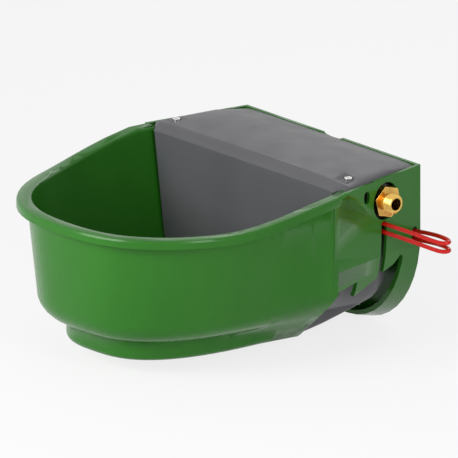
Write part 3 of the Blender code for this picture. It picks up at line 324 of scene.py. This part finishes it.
def smooth_copy(node, name, material, slot):
    """A merged copy of a solid, shaded smooth below the soft angle, which stands for it."""
    piece = bpy.data.objects.new(name, bpy.data.objects[node].data.copy())
    bpy.context.scene.collection.objects.link(piece)
    select_only(piece)
    bpy.ops.object.mode_set(mode="EDIT")
    bpy.ops.mesh.select_all(action="SELECT")
    bpy.ops.mesh.remove_doubles(threshold=MERGE_DISTANCE)
    bpy.ops.mesh.dissolve_limited(angle_limit=FLAT_ANGLE)
    bpy.ops.object.mode_set(mode="OBJECT")
    bpy.ops.object.shade_smooth_by_angle(angle=SOFT_ANGLE)
    piece.data.materials.clear()
    piece.data.materials.append(material)
    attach(piece, body_with(node))
    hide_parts(node)
    return piece


FINISH = {
    "bowl_shell": ("green_bowl", GREEN_GLOSS, "green_plastic"),
    "float_tank": ("grey_tank", GREY_SATIN, "grey_plastic"),
    "tank_gasket": ("joint_seal", RUBBER_BLACK, "black_rubber"),
    "valve_cover": ("grey_lid", GREY_SATIN, "grey_plastic"),
    "cover_lock_right": ("lid_lock_right", STEEL, "steel"),
    "cover_lock_left": ("lid_lock_left", STEEL, "steel"),
    "inlet_nipple": ("brass_inlet", BRASS, "brass"),
    "inlet_washer": ("inlet_seal", RUBBER_BLACK, "black_rubber"),
    "inlet_locknut": ("inlet_nut", BRASS, "brass"),
    "blanking_plug": ("side_plug", GREY_DARK, "grey_plastic"),
    "plug_washer": ("plug_seal", RUBBER_BLACK, "black_rubber"),
    "plug_locknut": ("plug_nut", GREY_DARK, "grey_plastic"),
    "valve_body": ("brass_valve", BRASS, "brass"),
    "valve_nozzle": ("seat_nozzle", WHITE_PLAIN, "white_plastic"),
    "valve_plunger": ("white_plunger", WHITE_PLAIN, "white_plastic"),
    "plunger_seal": ("seat_disc", RUBBER_BLACK, "black_rubber"),
    "arm_pin": ("lever_pin", STEEL, "steel"),
    "float_arm": ("brass_lever", BRASS, "brass"),
    "float": ("white_float", WHITE_PLAIN, "white_plastic"),
    "float_nut": ("stud_nut", STEEL, "steel"),
    "red_wire_bail": ("red_bail", RED_COAT, "red_coating"),
}
for k in range(1, TANK_SCREWS + 1):
    FINISH[f"tank_screw_{k}"] = (f"back_screw_{k}", STEEL, "steel")
pieces = {node: smooth_copy(node, *look) for node, look in FINISH.items()}
print("smooth copies:", len(pieces))

# %% [markdown]
# Hexagons, nuts, the lever and the lid's locks have a small chamfer that catches the light. A Bevel modifier
# limited by angle gives it to every real edge of the copies, and leaves round walls alone. The locks are
# small, so theirs is half as wide.

# %% Chamfers on hexagons, nuts, lever and locks
CHAMFER = 0.45 * MM
CHAMFER_STEPS = 2
CHAMFER_ANGLE = math.radians(40)


def chamfer(piece, width):
    """Bevels the real edges of a piece and applies the result."""
    select_only(piece)
    bevel = piece.modifiers.new("chamfer", "BEVEL")
    bevel.width = width
    bevel.segments = CHAMFER_STEPS
    bevel.limit_method = "ANGLE"
    bevel.angle_limit = CHAMFER_ANGLE
    bevel.use_clamp_overlap = True
    bpy.ops.object.modifier_apply(modifier=bevel.name)
    bpy.ops.object.shade_smooth_by_angle(angle=SOFT_ANGLE)
    return len(piece.data.polygons)


for node in ("inlet_nipple", "inlet_locknut", "blanking_plug", "plug_locknut", "float_nut", "float_arm"):
    print(node, chamfer(pieces[node], CHAMFER), "faces")
for node in ("cover_lock_right", "cover_lock_left"):
    print(node, chamfer(pieces[node], CHAMFER / 2), "faces")

# %% [markdown]
# The hexagon of the inlet stands as it was left when the nut behind it was tightened. In the picture one of
# its corners points towards the bowl, so the copy is turned about the inlet's own axis. Without a window the
# pivot setting has no effect, so the operator is told the centre.

# %% Turn of the inlet's hexagon
inlet_low, inlet_high = (Vector(corner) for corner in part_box("inlet_nipple"))
INLET_CENTRE = (inlet_low + inlet_high) / 2
HEX_TWIST = math.radians(30)


def twist(piece, angle, centre):
    """Turns a whole piece about an axis along X through a point."""
    select_only(piece)
    bpy.ops.object.mode_set(mode="EDIT")
    bpy.ops.mesh.select_all(action="SELECT")
    bpy.ops.transform.rotate(
        value=angle, orient_axis="X", orient_type="GLOBAL", center_override=centre
    )
    bpy.ops.object.mode_set(mode="OBJECT")


twist(pieces["inlet_nipple"], HEX_TWIST, INLET_CENTRE)
print("hexagon turned by", round(math.degrees(HEX_TWIST)), "degrees")

# %% [markdown]
# The lid's front is a soft brow: from the front edge it climbs steeply, rolls over and runs on nearly level.
# The solid has the same rings but a flatter climb, so two bands of rings near the front are lifted a little.
# The front edge gets a rounded bevel, which carries the long pale line across the picture. Points are chosen
# by how far they lie behind the lid's front edge and below its top.

# %% Brow and front edge of the lid
lid = pieces["valve_cover"]
lid_low, lid_high = (Vector(corner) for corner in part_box("valve_cover"))
BAND_ONE = 6.5 * MM
BAND_TWO = 11.5 * MM
BAND_END = 15.5 * MM
RISE_ONE = 1.0 * MM
RISE_TWO = 2.2 * MM
SKIN_DROP = 10.74 * MM
EDGE_DROP = 12.84 * MM
EDGE_REACH = 0.1 * MM
EDGE_ROUND = 2.2 * MM
EDGE_STEPS = 4


def select_points(piece, wanted):
    """Selects the vertices of a piece, in edit mode, for which wanted is true."""
    select_only(piece)
    bpy.ops.object.mode_set(mode="EDIT")
    bpy.ops.mesh.select_mode(type="VERT")
    bpy.ops.mesh.select_all(action="DESELECT")
    bpy.ops.object.mode_set(mode="OBJECT")
    chosen = 0
    for point in piece.data.vertices:
        point.select = wanted(point.co)
        chosen += point.select
    bpy.ops.object.mode_set(mode="EDIT")
    return chosen


def lift_band(near, far, rise):
    """Raises the lid's points that lie between two distances behind its front edge."""
    count = select_points(
        lid, lambda p: near < p.y - lid_low.y < far and p.z > lid_high.z - SKIN_DROP
    )
    bpy.ops.transform.translate(value=(0, 0, rise))
    bpy.ops.object.mode_set(mode="OBJECT")
    print("lifted", count, "points by", round(rise / MM, 1), "mm")


lift_band(BAND_ONE, BAND_TWO, RISE_ONE)
lift_band(BAND_TWO, BAND_END, RISE_TWO)
count = select_points(
    lid, lambda p: p.y < lid_low.y + EDGE_REACH and p.z > lid_high.z - EDGE_DROP
)
bpy.ops.mesh.select_mode(type="EDGE")
bpy.ops.mesh.bevel(offset=EDGE_ROUND, segments=EDGE_STEPS, affect="EDGES", clamp_overlap=True)
bpy.ops.object.mode_set(mode="OBJECT")
bpy.ops.object.shade_smooth_by_angle(angle=SOFT_ANGLE)
print("front edge points:", count)

# %% [markdown]
# The inlet has a pipe thread, which is what the eye reads as "screw a hose on here". The plain cylinder of
# the copy is drawn in to the thread's root. Then a small triangle is wound round the axis with a Screw
# modifier, one pitch for each turn, and its two ends are closed. Its crest lies just inside the solid's
# own radius, so that the thread takes no more room than the solid has.

# %% Pipe thread on the inlet
PITCH = 1.814 * MM
CREST_RADIUS = 10.43 * MM
ROOT_SHARE = 0.9
TOOTH_HALF_SHARE = 0.46
SUNK = 0.2 * MM
TURN_STEPS = 40
THREAD_RUN = 12.8 * MM
NEAR_CREST = 0.6 * MM


def on_thread(point):
    """Whether a point of the nipple belongs to the outer wall of its threaded end."""
    radius = (point - INLET_CENTRE).yz.length
    past_hexagon = point.x > inlet_high.x - THREAD_RUN - NEAR_CREST
    return past_hexagon and abs(radius - CREST_RADIUS) < NEAR_CREST


count = select_points(pieces["inlet_nipple"], on_thread)
bpy.ops.transform.resize(value=(1, ROOT_SHARE, ROOT_SHARE), center_override=INLET_CENTRE)
bpy.ops.object.mode_set(mode="OBJECT")
print("points drawn in to the thread's root:", count)


def wind_thread(name, start, run, root, crest, material):
    """A triangular ridge wound round the inlet's axis, from start along +X."""
    turns = int(run / PITCH) - 1
    bpy.ops.mesh.primitive_circle_add(vertices=3, radius=PITCH / 2, fill_type="NOTHING")
    ridge = bpy.context.active_object
    ridge.name = name
    half = PITCH * TOOTH_HALF_SHARE
    tooth = [(-half, root), (half, root), (0, crest)]
    for corner, (along, out) in zip(ridge.data.vertices, tooth):
        corner.co = (out, 0, along)
    screw = ridge.modifiers.new("turns", "SCREW")
    screw.axis = "Z"
    screw.angle = 2 * math.pi * turns
    screw.screw_offset = PITCH * turns
    screw.steps = screw.render_steps = TURN_STEPS * turns
    screw.use_merge_vertices = False
    select_only(ridge)
    bpy.ops.object.modifier_apply(modifier=screw.name)
    bpy.ops.object.mode_set(mode="EDIT")
    bpy.ops.mesh.select_all(action="DESELECT")
    bpy.ops.mesh.select_mode(type="EDGE")
    bpy.ops.mesh.select_non_manifold(
        extend=False, use_multi_face=False, use_non_contiguous=False, use_verts=False
    )
    bpy.ops.mesh.edge_face_add()
    bpy.ops.mesh.select_all(action="SELECT")
    bpy.ops.mesh.normals_make_consistent(inside=False)
    bpy.ops.object.mode_set(mode="OBJECT")
    ridge.rotation_euler = (0, math.pi / 2, 0)
    ridge.location = (start, INLET_CENTRE.y, INLET_CENTRE.z)
    bake_place(ridge)
    bpy.ops.object.shade_smooth_by_angle(angle=SOFT_ANGLE)
    ridge.data.materials.append(material)
    return ridge


thread_start = inlet_high.x - THREAD_RUN + PITCH
thread_root = CREST_RADIUS * ROOT_SHARE - SUNK
thread = wind_thread("inlet_thread", thread_start, THREAD_RUN, thread_root, CREST_RADIUS, BRASS)
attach(thread, "housing")
print("thread:", len(thread.data.polygons), "faces")

# %% [markdown]
# The bowl is pictured on plain white. A big pale floor, a millimetre below the foot, catches a soft shadow.
# Light Path lets the camera, and what shows in metal, see white, while the light that reaches the bowl
# stays plain.

# %% White floor
low = Vector(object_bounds()[0])
FLOOR_SIZE = 12.0
FLOOR_GAP = 1.0 * MM
bpy.ops.mesh.primitive_plane_add(size=FLOOR_SIZE, location=(0, 0, low.z - FLOOR_GAP))
floor = bake_place(bpy.context.active_object)
floor.name = "floor"
floor.data.materials.append(bpy.data.materials.new("white_paper"))


def seen_mask(tree, share):
    """How much of the white a ray sees: camera rays, and rays in reflections and glass."""
    path = tree.nodes.new("ShaderNodeLightPath")
    last = path.outputs["Is Camera Ray"]
    for label in ("Is Glossy Ray", "Is Transmission Ray"):
        either = tree.nodes.new("ShaderNodeMath")
        either.operation = "MAXIMUM"
        tree.links.new(last, either.inputs[0])
        tree.links.new(path.outputs[label], either.inputs[1])
        last = either.outputs[0]
    scale = tree.nodes.new("ShaderNodeMath")
    scale.operation = "MULTIPLY"
    scale.inputs[1].default_value = share
    tree.links.new(last, scale.inputs[0])
    return scale.outputs[0]


PAPER_GLOW_SHARE = 0.8
PAPER_COLOUR = (0.9, 0.9, 0.9, 1)
PAPER_ROUGHNESS = 0.9
paper = floor.data.materials[0]
paper.use_nodes = True
tree = paper.node_tree
lit = tree.nodes["Principled BSDF"]
lit.inputs["Base Color"].default_value = PAPER_COLOUR
lit.inputs["Roughness"].default_value = PAPER_ROUGHNESS
lit.inputs["Specular IOR Level"].default_value = 0.0
glow = tree.nodes.new("ShaderNodeEmission")
mix = tree.nodes.new("ShaderNodeMixShader")
tree.links.new(seen_mask(tree, PAPER_GLOW_SHARE), mix.inputs[0])
tree.links.new(lit.outputs[0], mix.inputs[1])
tree.links.new(glow.outputs[0], mix.inputs[2])
tree.links.new(mix.outputs[0], tree.nodes["Material Output"].inputs["Surface"])
print("floor at", round(low.z - FLOOR_GAP, 4), "m")

# %% [markdown]
# The world is a plain soft fill for the bowl, weaker than the white that the camera sees behind it. Lamps
# alone would leave the inside of the bowl too dark.

# %% World
FILL_STRENGTH = 0.30
WHITE = (1, 1, 1, 1)
world = bpy.data.worlds.new("studio")
bpy.context.scene.world = world
world.use_nodes = True
tree = world.node_tree
tree.nodes.clear()
fill = tree.nodes.new("ShaderNodeBackground")
fill.inputs["Color"].default_value = WHITE
fill.inputs["Strength"].default_value = FILL_STRENGTH
shown = tree.nodes.new("ShaderNodeBackground")
shown.inputs["Color"].default_value = WHITE
pick = tree.nodes.new("ShaderNodeMixShader")
tree.links.new(seen_mask(tree, 1.0), pick.inputs[0])
tree.links.new(fill.outputs[0], pick.inputs[1])
tree.links.new(shown.outputs[0], pick.inputs[2])
out = tree.nodes.new("ShaderNodeOutputWorld")
tree.links.new(pick.outputs[0], out.inputs["Surface"])
print("world fill:", FILL_STRENGTH)

# %% [markdown]
# Three area lamps light the bowl. The key stands low in front, so that upright walls are brighter than the
# lid's top, as in the picture. The side lamp is tall and narrow and draws upright highlights on the cheek,
# and a long one behind rims the edges.

# %% Lamps
AIM = Vector((0, -0.2, 0))


def add_lamp(name, place, size, power):
    """An area lamp that looks at the middle of the bowl."""
    bpy.ops.object.light_add(type="AREA", location=place)
    lamp = bpy.context.active_object
    lamp.name = name
    lamp.data.shape = "RECTANGLE"
    lamp.data.size, lamp.data.size_y = size
    lamp.data.energy = power
    lamp.rotation_euler = (AIM - Vector(place)).to_track_quat("-Z", "Y").to_euler()
    return lamp


key = add_lamp("key", place=(-0.3, -2.0, 0.85), size=(1.3, 0.9), power=34.0)
side = add_lamp("side", place=(2.0, -0.7, 0.7), size=(0.5, 1.4), power=15.0)
rear = add_lamp("back", place=(-0.6, 1.3, 1.2), size=(1.6, 0.3), power=6.0)
print("lamps:", [lamp.name for lamp in (key, side, rear)])

# %% [markdown]
# The picture was taken from far away, so its lines hardly converge, and an orthographic camera matches it.
# Its direction and framing come from the rim's curve and the lid's corners in the picture. They are given
# as two angles and as shifts from a point on the bowl's middle plane, level with the top of its back.

# %% Camera
BACK_TOP = 98.25 * MM
AZIMUTH = math.radians(48.83)
ELEVATION = math.radians(17.56)
VIEW_WIDTH = 0.5075
SHIFT_RIGHT = -0.1162
SHIFT_UP = -0.1048
CAMERA_DISTANCE = 1.5
back = Vector((
    math.sin(AZIMUTH) * math.cos(ELEVATION),
    -math.cos(AZIMUTH) * math.cos(ELEVATION),
    math.sin(ELEVATION),
))
right = Vector((0, 0, 1)).cross(back).normalized()
up = back.cross(right)
target = Vector((0, 0, BACK_TOP)) + SHIFT_RIGHT * right + SHIFT_UP * up
camera_data = bpy.data.cameras.new("camera")
camera_data.type = "ORTHO"
camera_data.ortho_scale = VIEW_WIDTH
camera = bpy.data.objects.new("camera", camera_data)
bpy.context.scene.collection.objects.link(camera)
camera.location = target + CAMERA_DISTANCE * back
camera.rotation_euler = back.to_track_quat("Z", "Y").to_euler()
bpy.context.scene.camera = camera
bpy.context.scene.view_settings.view_transform = "Standard"
print("camera width:", VIEW_WIDTH, "m")
